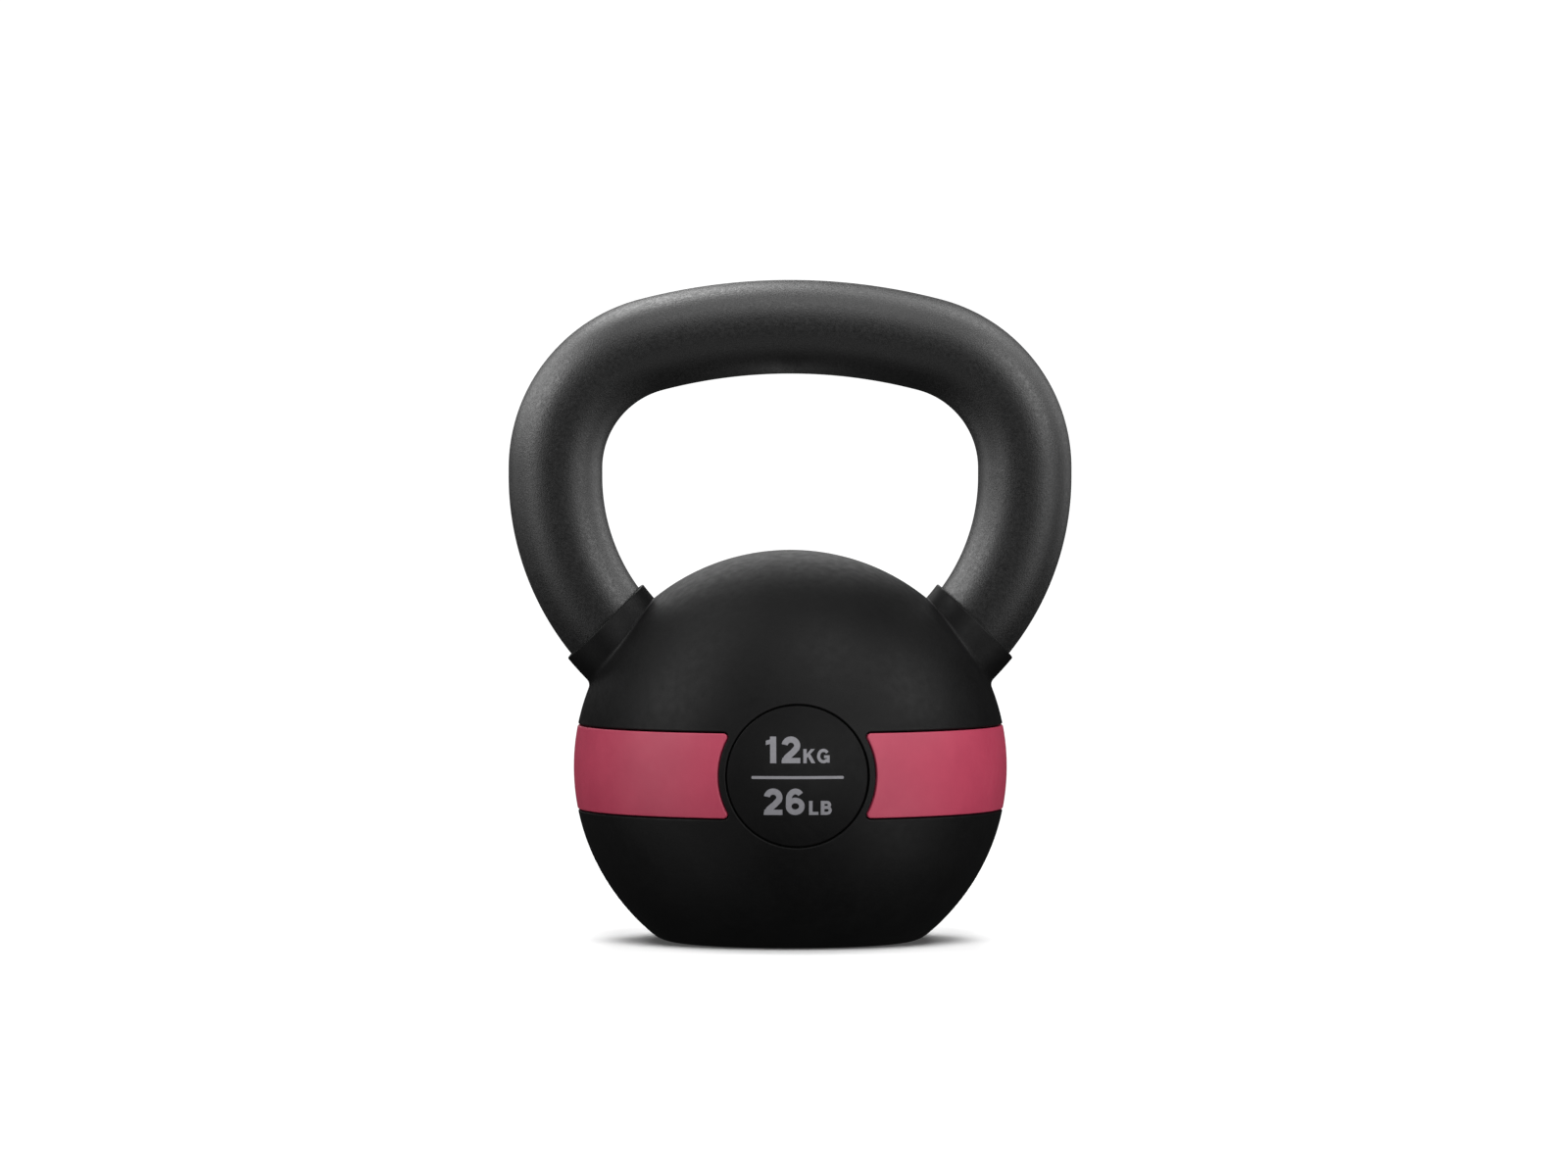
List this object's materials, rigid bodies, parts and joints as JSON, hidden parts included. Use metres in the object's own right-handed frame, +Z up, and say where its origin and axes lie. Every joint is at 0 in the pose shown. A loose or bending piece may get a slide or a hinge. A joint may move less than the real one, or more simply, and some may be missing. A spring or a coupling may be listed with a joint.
{
  "type": "kettlebell",
  "caption": "Kettlebell: arched steel handle cast into an iron ball with a flat base, in a rubber cover with collars, a coloured equator band and flush round badges front and back.",
  "frame": {"origin": "centre of the flat base, on the surface it stands on", "axes": "+Z up through the ball to the grip; +X along the grip, to the right of someone facing the weight badge; the weight badge faces -Y"},
  "size_m": [0.2002, 0.154, 0.2349],
  "materials": {
    "handle_coat": "matte",
    "core_iron": "matte",
    "pin_steel": "satin",
    "cover_rubber": "matte",
    "band_rubber": "matte",
    "badge_rubber": "matte",
    "print_ink": "matte"
  },
  "bodies": {
    "root": {"core": "core_iron", "handle": "handle_coat", "left_anchor_pin": "pin_steel", "right_anchor_pin": "pin_steel", "cover": "cover_rubber", "left_band": "band_rubber", "right_band": "band_rubber", "front_badge": "badge_rubber", "rear_badge": "badge_rubber"}
  },
  "joints": []
}
